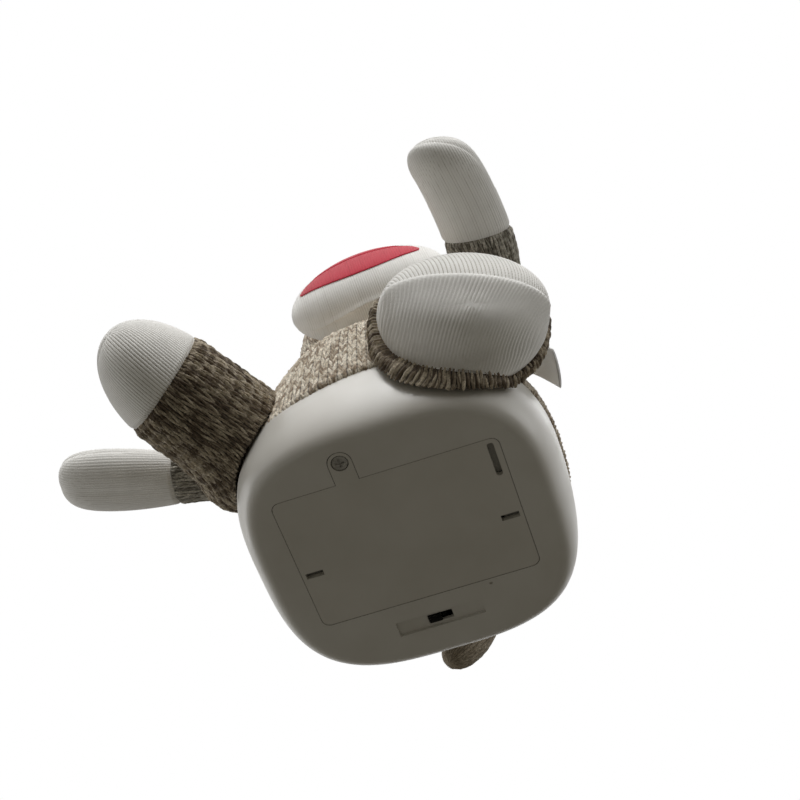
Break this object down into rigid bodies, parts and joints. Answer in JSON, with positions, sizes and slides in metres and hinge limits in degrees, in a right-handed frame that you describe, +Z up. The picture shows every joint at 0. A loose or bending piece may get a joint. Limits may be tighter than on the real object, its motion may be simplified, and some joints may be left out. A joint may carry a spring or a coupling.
{
  "type": "sock monkey doll",
  "caption": "Seated stuffed sock monkey in marled knit on a round plastic battery base with a screwed door, slide switch and a shaker mechanism inside.",
  "frame": {"origin": "middle of the base's flat bottom, on the plane that the toy stands on", "axes": "+Z up, the monkey faces -Y, +X towards its left hand"},
  "size_m": [0.1847, 0.1594, 0.149],
  "materials": {
    "white_shell_plastic": "moulded ABS, soft gloss",
    "white_door_plastic": "moulded ABS, fine satin",
    "grey_plastic": "moulded, unpolished",
    "black_plastic": "moulded, satin",
    "gear_plastic": "moulded acetal",
    "steel": "plated steel",
    "spring_steel": "nickel plated spring steel",
    "cell_wrap": "bare dark shrink sleeve",
    "board_green": "lacquered laminate",
    "wire_red": "insulated lead",
    "wire_black": "insulated lead",
    "heather_knit": "brown and cream marled knit",
    "white_knit": "fine white rib knit",
    "red_cloth": "fine red rib knit",
    "white_satin": "woven satin ribbon, bare",
    "eye_black": "polished button"
  },
  "bodies": {
    "base": {"base_shell": "white_shell_plastic", "base_deck": "white_shell_plastic", "deck_screw_1": "steel", "deck_screw_2": "steel", "deck_screw_3": "steel", "deck_screw_4": "steel", "battery_tray": "grey_plastic", "battery_cell_1": "cell_wrap", "battery_cell_2": "cell_wrap", "battery_cell_3": "cell_wrap", "contact_plate_left": "spring_steel", "contact_plate_right": "spring_steel", "contact_spring_1": "spring_steel", "contact_spring_2": "spring_steel", "contact_spring_3": "spring_steel", "switch_case": "black_plastic", "circuit_board": "board_green", "speaker": "black_plastic", "motor": "steel", "gear_frame_front": "grey_plastic", "gear_frame_rear": "grey_plastic", "idler_axle": "steel", "weight_axle": "steel", "mechanism_cover": "grey_plastic", "cover_screw_1": "steel", "cover_screw_2": "steel", "motor_lead_red": "wire_red", "motor_lead_black": "wire_black", "body_sock": "heather_knit", "care_label": "white_satin"},
    "door": {"battery_door": "white_door_plastic"},
    "door_screw": {"door_screw": "steel"},
    "switch_knob": {"switch_knob": "black_plastic"},
    "pinion": {"motor_pinion": "gear_plastic"},
    "idler": {"idler_gear": "gear_plastic"},
    "shaker": {"weight_gear": "gear_plastic", "shaker_weight": "steel"},
    "head": {"head_sock": "heather_knit", "crown_cap": "white_knit", "muzzle": "white_knit", "lips": "red_cloth", "left_eye": "eye_black", "right_eye": "eye_black", "left_ear": "heather_knit", "right_ear": "heather_knit"},
    "right_leg": {"right_leg_sock": "heather_knit", "right_toe": "white_knit"},
    "left_leg": {"left_leg_sock": "heather_knit", "left_toe": "white_knit"},
    "right_arm": {"right_arm_sock": "heather_knit", "right_hand": "white_knit"},
    "left_arm": {"left_arm_sock": "heather_knit", "left_hand": "white_knit"},
    "tail": {"tail_sock": "heather_knit"}
  },
  "joints": [
    {"name": "shaker_spin", "type": "hinge", "parent": "base", "child": "shaker", "pos_m": [0.00559, 0.0003, 0.04971], "axis": [0, 1, 0], "continuous": true},
    {"name": "idler_spin", "type": "hinge", "parent": "base", "child": "idler", "pos_m": [-0.00592, 0.0034, 0.0463], "axis": [0, 1, 0], "continuous": true},
    {"name": "pinion_spin", "type": "hinge", "parent": "base", "child": "pinion", "pos_m": [0.002, 0.0034, 0.0381], "axis": [0, 1, 0], "continuous": true},
    {"name": "switch_slide", "type": "slide", "parent": "base", "child": "switch_knob", "axis": [1, 0, 0], "range_m": [0, 0.0034]},
    {"name": "door_hinge", "type": "hinge", "parent": "base", "child": "door", "pos_m": [0, 0.0175, 0], "axis": [1, 0, 0], "range_deg": [0, 60]},
    {"name": "door_screw_turn", "type": "hinge", "parent": "door", "child": "door_screw", "pos_m": [-0.0107, -0.0363, 0.0002], "axis": [0, 0, 1], "continuous": true},
    {"name": "head_turn", "type": "hinge", "parent": "base", "child": "head", "pos_m": [0.002, -0.008, 0.073], "axis": [0, 0, 1], "range_deg": [-25, 25]},
    {"name": "right_hip", "type": "hinge", "parent": "base", "child": "right_leg", "pos_m": [-0.04, -0.027, 0.04], "axis": [0, 0, 1], "range_deg": [-10, 10]},
    {"name": "left_hip", "type": "hinge", "parent": "base", "child": "left_leg", "pos_m": [0.026, -0.025, 0.047], "axis": [0, 0, 1], "range_deg": [-10, 10]},
    {"name": "right_shoulder", "type": "hinge", "parent": "base", "child": "right_arm", "pos_m": [-0.036, -0.002, 0.068], "axis": [0, 1, 0], "range_deg": [-25, 25]},
    {"name": "left_shoulder", "type": "hinge", "parent": "base", "child": "left_arm", "pos_m": [0.034, -0.008, 0.067], "axis": [0, 0, 1], "range_deg": [-5, 35]},
    {"name": "tail_swing", "type": "hinge", "parent": "base", "child": "tail", "pos_m": [0.008, 0.043, 0.036], "axis": [0, 1, 0], "range_deg": [-20, 20]}
  ],
  "couplings": [
    {"joint": "idler_spin", "follows": "shaker_spin", "ratio": -3},
    {"joint": "pinion_spin", "follows": "shaker_spin", "ratio": 11.25}
  ]
}
